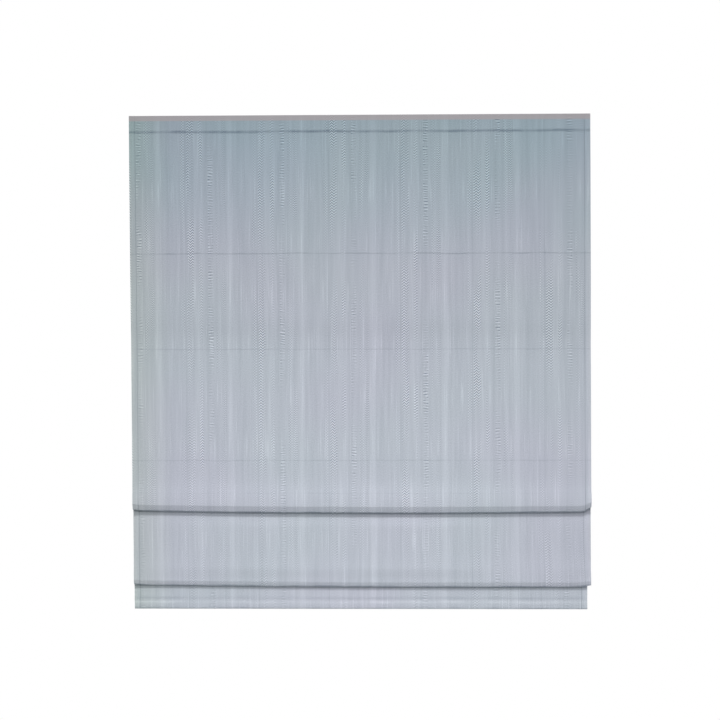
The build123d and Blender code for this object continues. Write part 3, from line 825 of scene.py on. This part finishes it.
def tape(node, pile_to_wall):
    """Strip with thin selvedges, whose pile faces the wall or the room."""
    low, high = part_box(node)
    base, pile = (low[1], high[1]) if pile_to_wall else (high[1], low[1])
    thin = base + math.copysign(selvedge_thickness, pile - base)
    bottom, top = low[2], high[2]
    outline = [
        (base, bottom), (base, top), (thin, top), (thin, top - selvedge),
        (pile, top - selvedge - pile_slope), (pile, bottom + selvedge + pile_slope),
        (thin, bottom + selvedge), (thin, bottom),
    ]
    places = np.linspace(low[0], high[0], tape_columns)
    piece = skin(f"woven_{node}", [[(x, y, z) for y, z in outline] for x in places], places)
    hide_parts(node)
    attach(piece, "headrail")
    return piece


tapes = [tape("loop_tape", True), tape("hook_tape", False)]
print("tapes", [piece.name for piece in tapes])

# %% [markdown]
# A rod lies in a pocket sewn from a cotton strip. The strip goes round the rod and its
# two layers lie together in a fin that is stitched to the cloth. The outline is that
# wrapped strip, and it puckers by up to a tenth of a millimetre from stitch to stitch.

# %% Rod pockets
pocket_outer = 2.8 * mm
pocket_inner = 2.15 * mm
pocket_reach = 3.8 * mm
pocket_columns = 241
arc_points = 23
fin_angle = 13.4
slit_angle = 1
slit = 0.03 * mm
round_part = range(4, 22)
pucker_half = 0.05 * mm
puckers_along, puckers_around = 250, 0.4


def pocket_outline(y, z):
    """The strip wrapped round a rod at y and z, with its fin towards the room."""
    def arc(radius, first, last):
        angles = np.radians(np.linspace(first, last, arc_points))
        return [(y + radius * math.cos(angle), z + radius * math.sin(angle)) for angle in angles]

    tip = y - pocket_reach
    layer = pocket_outer - pocket_inner
    outside = arc(pocket_outer, 180 - fin_angle, fin_angle - 180)
    inside = arc(pocket_inner, slit_angle - 180, 180 - slit_angle)
    return [(tip, z + layer), *outside, (tip, z - layer), (tip, z - slit), *inside, (tip, z + slit)]


def rod_pocket(number):
    """Pocket of one rod."""
    node = f"rod_{number}_pocket"
    low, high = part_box(node)
    rod_y, rod_z = rods[number].y, rods[number].z
    outline = pocket_outline(rod_y, rod_z)
    places = np.linspace(low[0], high[0], pocket_columns)
    rings = []
    for x in places:
        ring = [(x, y, z) for y, z in outline]
        for j in round_part:
            y, z = outline[j]
            spot = Vector((x * puckers_along, j * puckers_around, number))
            pucker = pucker_half * (noise.noise(spot) - 1)
            moved = Vector((y - rod_y, z - rod_z)).normalized() * pucker
            ring[j] = (x, y + moved.x, z + moved.y)
        rings.append(ring)
    piece = skin(f"sewn_pocket_{number}", rings, places)
    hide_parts(node)
    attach(piece, f"rod_{number}")
    return piece


pockets = [rod_pocket(number) for number in rods]
print("pockets", [piece.name for piece in pockets])

# %% [markdown]
# Each lift cord is a 1.4 mm braid. It is wound on its drum in touching turns, leaves the
# drum towards the wall, and falls through the rings to its adjuster. The fall is cut at
# the rods, as the cloth is. The wound length hangs from the headrail and the last from
# the lowest rod, and the lengths between stay where they were made.

# %% Lift cords
cord_radius = 0.7 * mm
cord_sides = 10
cord_step = 8 * mm
turns_per_cord = 9
points_per_turn = 20
leaves_drum = 3 * mm
shaft = middle_of("lift_shaft")
cord_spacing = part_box("lift_cord_right")[1][0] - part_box("lift_cord_middle")[1][0]


def tube(name, path, radius):
    """Skin over a circle carried along a path without twist."""
    path = [Vector(point) for point in path]
    side = Vector((1, 0, 0))
    angles = [2 * math.pi * k / cord_sides for k in range(cord_sides)]
    rings, distances = [], [0.0]
    for i, point in enumerate(path):
        ahead = path[min(i + 1, len(path) - 1)] - path[max(i - 1, 0)]
        ahead.normalize()
        side = (side - ahead * side.dot(ahead)).normalized()
        other = ahead.cross(side)
        rings.append([point + radius * (side * math.cos(a) + other * math.sin(a)) for a in angles])
        if i:
            distances.append(distances[-1] + (point - path[i - 1]).length)
    return skin(name, rings, distances)


def straight(x, y, top, bottom):
    """Points a step apart down a plumb line."""
    count = max(3, round((top - bottom) / cord_step))
    return [(x, y, z) for z in np.linspace(top, bottom, count)]


def lift_cord(name, x):
    """One cord in five lengths, from its drum to its adjuster."""
    low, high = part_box(f"lift_cord_{name}")
    wound = (high[1] - low[1]) / 2 - cord_radius
    turns = []
    for step in range(turns_per_cord * points_per_turn + 1):
        angle = 2 * math.pi * step / points_per_turn
        shift = 2 * cord_radius * (turns_per_cord - step / points_per_turn)
        turns.append((x - shift, shaft.y + wound * math.cos(angle), shaft.z - wound * math.sin(angle)))
    hang_y = turns[-1][1]
    fall = straight(x, hang_y, shaft.z - leaves_drum, stitch_z)
    lengths = {
        "wound": (turns + fall, "headrail", None),
        "1": (straight(x, hang_y, stitch_z, rods[3].z), "headrail", "rod_3"),
        "2": (straight(x, hang_y, rods[3].z, rods[2].z), "rod_3", "rod_2"),
        "3": (straight(x, hang_y, rods[2].z, rods[1].z), "rod_2", "rod_1"),
        "4": (straight(x, hang_y, rods[1].z, low[2]), "rod_1", None),
    }
    pieces = []
    for label, (path, above, below) in lengths.items():
        piece = tube(f"cord_{name}_{label}", path, cord_radius)
        if below is None:
            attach(piece, above)
        else:
            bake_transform(piece)
        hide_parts(f"lift_cord_{name}")
        pieces.append(piece)
    return pieces


cords = []
for place, name in enumerate(("left", "middle", "right"), start=-1):
    cords += lift_cord(name, middle_of("cord_adjusters").x + place * cord_spacing)
print(len(cords), "lengths of cord")

# %% [markdown]
# Rows of stitching hold the loop tape, the pockets and the hem. A stitch is 3 mm of
# thread with its ends pulled into the cloth, and the next one starts 1 mm after it.

# %% Stitching
stitch_length = 3 * mm
stitch_gap = 1 * mm
thread_radius = 0.28 * mm
thread_sides = 6
stitch_profile = ((0.0, 0.3), (0.15, 0.9), (0.5, 1.0), (0.85, 0.9), (1.0, 0.3))
thread_sunk = 0.6
below_rod = 1 * mm


def stitch_row(name, y, z, body):
    """Row of stitches across the blind on the side of the cloth that faces the room."""
    reach = half_width - side_hem
    points, faces = [], []
    for start in np.arange(-reach, reach - stitch_length, stitch_length + stitch_gap):
        base = len(points)
        for share, size in stitch_profile:
            for k in range(thread_sides):
                angle = 2 * math.pi * k / thread_sides
                out = thread_radius * (size * math.cos(angle) + size - thread_sunk)
                rise = thread_radius * size * math.sin(angle)
                points.append((start + share * stitch_length, y - out, z + rise))
        for ring in range(len(stitch_profile) - 1):
            for k in range(thread_sides):
                a = base + ring * thread_sides + k
                b = base + ring * thread_sides + (k + 1) % thread_sides
                faces.append((a, b, b + thread_sides, a + thread_sides))
    mesh = bpy.data.meshes.new(name)
    mesh.from_pydata(points, [], faces)
    mesh.polygons.foreach_set("use_smooth", [True] * len(faces))
    piece = add_object(name, mesh)
    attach(piece, body)
    return piece


stitches = [
    stitch_row("header_stitching", header_y - half_cloth, stitch_z, "headrail"),
    stitch_row("rod_3_stitching", front_y - half_cloth, rods[3].z, "rod_3"),
    stitch_row("rod_2_stitching", middle_y - half_cloth, rods[2].z - below_rod, "rod_2"),
    stitch_row("rod_1_stitching", hem_y - half_cloth, rods[1].z - below_rod, "rod_1"),
    stitch_row("hem_stitching", hem_y - half_cloth, hem_z - half_cloth + hem_height, "rod_1"),
]
print(len(stitches), "rows of stitching")

# %% [markdown]
# The pockets are a plain cotton weave, dull and slightly fuzzy. The touch-and-close tape
# is woven nylon, a little smoother. The cords are a polyester braid, and the thread is a
# polyester a shade darker than the cloth. Weave and braid are drawn in the skins' maps,
# the weaves with thicker threads than real ones so that they show. A stitch is too
# small to need a map, so its thread is one tone.

# %% Cotton tape, braid and thread
braid_pitch = 1.4 * mm
strand_width = 1.1 * mm


def woven_strip(name, colour, shade, thread_mm, roughness):
    """Plain weave: squares one thread wide that lie over and under by turns."""
    material, tree, shader = new_material(name)
    uv = add_node(tree, "ShaderNodeUVMap", uv_map="cloth_metres")
    scale = 1000 / thread_mm
    size = add_node(tree, "ShaderNodeVectorMath", {0: uv, 1: (scale, scale, 0)}, operation="MULTIPLY")
    checks = add_node(tree, "ShaderNodeTexChecker", {"Vector": size, "Scale": 1.0})
    woven = {0: checks.outputs["Fac"], 1: 0.4, 2: patches(tree, uv, (16.67, 16.67), 4.0)}
    mixed = add_node(tree, "ShaderNodeMath", woven, operation="MULTIPLY_ADD")
    tones = {0: mixed, 6: linear(shade), 7: linear(colour)}
    relief = {"Height": mixed, "Strength": 0.5, "Distance": 0.3 * mm}
    set_inputs(tree, shader, {
        "Base Color": add_node(tree, "ShaderNodeMix", tones, data_type="RGBA").outputs[2],
        "Normal": add_node(tree, "ShaderNodeBump", relief),
        "Roughness": roughness,
        "Sheen Weight": 0.2,
    })
    return material


def braid(name, colour, shade):
    """Round braid: strands that cross at a slant both ways."""
    material, tree, shader = new_material(name)
    uv = add_node(tree, "ShaderNodeUVMap", uv_map="cloth_metres")
    ways = []
    for slant in (1, -1):
        turns = (2 * math.pi / braid_pitch, slant * 2 * math.pi / strand_width, 0)
        turned = add_node(tree, "ShaderNodeVectorMath", {0: uv, 1: turns}, operation="DOT_PRODUCT")
        ways.append(add_node(tree, "ShaderNodeMath", {0: turned.outputs["Value"]}, operation="SINE"))
    strands = add_node(tree, "ShaderNodeMath", {0: ways[0], 1: ways[1]}, operation="MAXIMUM")
    level = add_node(tree, "ShaderNodeMapRange", {0: strands, 1: -0.6, 2: 1.0})
    tones = {0: level, 6: linear(shade), 7: linear(colour)}
    relief = {"Height": level, "Strength": 0.6, "Distance": 0.2 * mm}
    set_inputs(tree, shader, {
        "Base Color": add_node(tree, "ShaderNodeMix", tones, data_type="RGBA").outputs[2],
        "Normal": add_node(tree, "ShaderNodeBump", relief),
        "Roughness": 0.55,
    })
    return material


cotton_tape = woven_strip("cotton_tape_plain_weave", "#e6e6e3", "#cfd0ce", 0.9, 0.85)
nylon_tape = woven_strip("nylon_touch_and_close_tape", "#dfe1e3", "#c3c6ca", 1.4, 0.7)
cord_braid = braid("polyester_braid", "#ecebe6", "#bfbfba")
thread = woven_strip("polyester_thread", "#aab1bf", "#8d95a4", 1.0, 0.6)
for pieces, material in (
    (tapes, nylon_tape), (pockets, cotton_tape), (cords, cord_braid), (stitches, thread),
):
    for piece in pieces:
        piece.data.materials.append(material)
    print(material.name, "on", len(pieces), "pieces")

# %% [markdown]
# The rigid pieces keep the model's shapes and get their finishes here. Each finish has a
# base colour that drifts a little towards a second one, and a grain: drawn or extruded
# metal has lines along the blind, moulded plastic has the fine pitting of its mould.

# %% Finishes of the rigid pieces
drift_mm = 22.22


def rigid_finish(name, colour, second, grain_mm, depth_mm, roughness, sockets):
    """Rigid surface with a drifting colour and a grain of (x, y, z) size in millimetres."""
    material, tree, shader = new_material(name)
    place = add_node(tree, "ShaderNodeTexCoord").outputs["Object"]
    tones = {0: patches(tree, place, (drift_mm,) * 3, 5.0), 6: linear(colour), 7: linear(second)}
    lines = patches(tree, place, grain_mm, 3.0)
    rough = {0: lines, 1: 0.3, 2: 0.7, 3: roughness - 0.06, 4: roughness + 0.08}
    relief = {"Height": lines, "Strength": 0.6, "Distance": depth_mm * mm}
    set_inputs(tree, shader, {
        "Base Color": add_node(tree, "ShaderNodeMix", tones, data_type="RGBA").outputs[2],
        "Roughness": add_node(tree, "ShaderNodeMapRange", rough),
        "Normal": add_node(tree, "ShaderNodeBump", relief),
        **sockets,
    })
    return material


metal = {"Metallic": 1.0}
finishes = {
    # Satin and pale, with faint lines along the rail
    "rail_aluminium": rigid_finish(
        "anodised_extruded_aluminium", "#d5d8da", "#c6cacd", (60, 0.5, 0.5), 0.02, 0.36, metal
    ),
    # Greyer and duller than the rail, because it has no anodised skin
    "bar_aluminium": rigid_finish(
        "mill_finish_aluminium", "#c9cccf", "#b5b9bd", (40, 0.4, 0.4), 0.03, 0.42, metal
    ),
    # Cool grey with the small mottle of its crystals
    "plated_steel": rigid_finish(
        "zinc_plated_steel", "#c2c7cb", "#a6adb4", (2.5, 2.5, 2.5), 0.02, 0.40, metal
    ),
    # Brighter gleam, drawn through a die and left bare
    "shaft_steel": rigid_finish(
        "bright_drawn_steel", "#b9bcc0", "#a3a6aa", (50, 0.3, 0.3), 0.02, 0.30, metal
    ),
    # Dark blue from its heat treatment, with rolling lines round the spools
    "spring_steel": rigid_finish(
        "blued_spring_steel", "#56616f", "#6c6f7d", (0.6, 8, 8), 0.01, 0.28, metal
    ),
    # Cream resin over long glass strands, slightly glossy
    "fibreglass": rigid_finish(
        "pultruded_fibreglass", "#e4e3d7", "#d6d5c6", (45, 0.35, 0.35), 0.02, 0.34,
        {"IOR": 1.52, "Coat Weight": 0.15},
    ),
    # Glassy, so what lies behind it shows through
    "clear_plastic": rigid_finish(
        "clear_polycarbonate", "#f1f4f5", "#e6ecee", (6, 6, 6), 0.01, 0.10,
        {"IOR": 1.585, "Transmission Weight": 0.8},
    ),
    # Waxy and half matt, as slippery machine plastics are
    "grey_plastic": rigid_finish(
        "moulded_acetal", "#8f9296", "#85888d", (0.5, 0.5, 0.5), 0.03, 0.44, {"IOR": 1.48}
    ),
    # Warm white with a low gloss from a finely pitted mould
    "white_plastic": rigid_finish(
        "moulded_white_abs", "#ebebe8", "#e1e2e0", (0.4, 0.4, 0.4), 0.03, 0.40, {"IOR": 1.53}
    ),
}
for part in frame["record"]["subparts"]:
    finish = finishes.get(part["material_slot"])
    if finish is not None:
        for material_slot in frame["nodes"][part["node"]].material_slots:
            material_slot.material = finish
print(len(finishes), "rigid finishes")

# %% [markdown]
# The camera stands a little right of the middle, 2.6 m in front of the header. It looks
# almost straight on, turned one degree to the left and tipped half a degree up. Its lens
# covers 1.56 m at the cloth.

# %% Camera
camera_data = bpy.data.cameras.new("camera")
camera_data.lens = 59.88
camera_data.sensor_width = 36
camera_right, camera_distance, camera_height = 0.0455, 2.6, -0.5403
camera_tip, camera_roll, camera_turn = 0.586, 0.108, 0.989
camera = add_object("camera", camera_data)
camera.location = (camera_right, header_y - camera_distance, camera_height)
camera.rotation_euler = [math.radians(angle) for angle in (90 + camera_tip, camera_roll, camera_turn)]
bpy.context.scene.camera = camera
covered = camera_distance * camera_data.sensor_width / camera_data.lens
print("the camera covers", round(covered, 3), "m at the cloth")

# %% [markdown]
# Light comes from two long soft lamps, one high and one in front, and from a pale even
# surround. Both lamps are gathered on the lower cloth, so that it is the brighter. Their
# light comes from above, so the folds shade what hangs below them. The surround shows as
# plain white behind the blind.

# %% Light and floor
world = bpy.data.worlds.new("studio")
bpy.context.scene.world = world
world.use_nodes = True
sky = world.node_tree
background = sky.nodes["Background"]
set_inputs(sky, background, {"Color": linear("#e2ebee"), "Strength": 0.375})
ray = add_node(sky, "ShaderNodeLightPath").outputs
seen = {0: ray["Is Camera Ray"], 1: ray["Is Glossy Ray"]}
seen = {0: add_node(sky, "ShaderNodeMath", seen, operation="MAXIMUM"), 1: ray["Is Transmission Ray"]}
white = add_node(sky, "ShaderNodeBackground", {"Color": (1, 1, 1, 1), "Strength": 1.0})
shown = {0: add_node(sky, "ShaderNodeMath", seen, operation="MAXIMUM"), 1: background, 2: white}
set_inputs(sky, sky.nodes["World Output"], {0: add_node(sky, "ShaderNodeMixShader", shown)})


def strip_lamp(name, place, target, size, spread, power, colour):
    """Long area lamp whose light is gathered towards a point."""
    data = bpy.data.lights.new(name, "AREA")
    data.shape = "RECTANGLE"
    data.size, data.size_y = size
    data.spread = math.radians(spread)
    data.energy = power
    data.color = linear(colour)[:3]
    lamp = add_object(name, data)
    lamp.location = place
    lamp.rotation_euler = (Vector(target) - Vector(place)).to_track_quat("-Z", "Y").to_euler()
    print(name, power, "W over", size, "m")


strip_lamp("top_lamp", (0.0, -2.2, 3.2), (0, 0, -1.48), (2.0, 0.5), 24, 6.7, "#fffdfd")
strip_lamp("front_lamp", (0.1, -2.6, 1.2), (0, 0, -1.15), (2.2, 0.5), 66, 5.9, "#fff7f8")

floor_material, floor_tree, floor_shader = new_material("pale_floor")
set_inputs(floor_tree, floor_shader, {"Base Color": linear("#f2f2f0"), "Roughness": 0.9})
floor_half, floor_z = 1.2, -1.75
floor_corners = [(x * floor_half, y * floor_half, floor_z) for x, y in ((-1, -1), (1, -1), (1, 1), (-1, 1))]
floor_mesh = bpy.data.meshes.new("floor")
floor_mesh.from_pydata(floor_corners, [], [(0, 1, 2, 3)])
floor_mesh.materials.append(floor_material)
add_object("floor", floor_mesh)

# %% [markdown]
# Colours are shown as they are written, without a film-like curve.

# %% Finish
bpy.context.scene.view_settings.view_transform = "Standard"
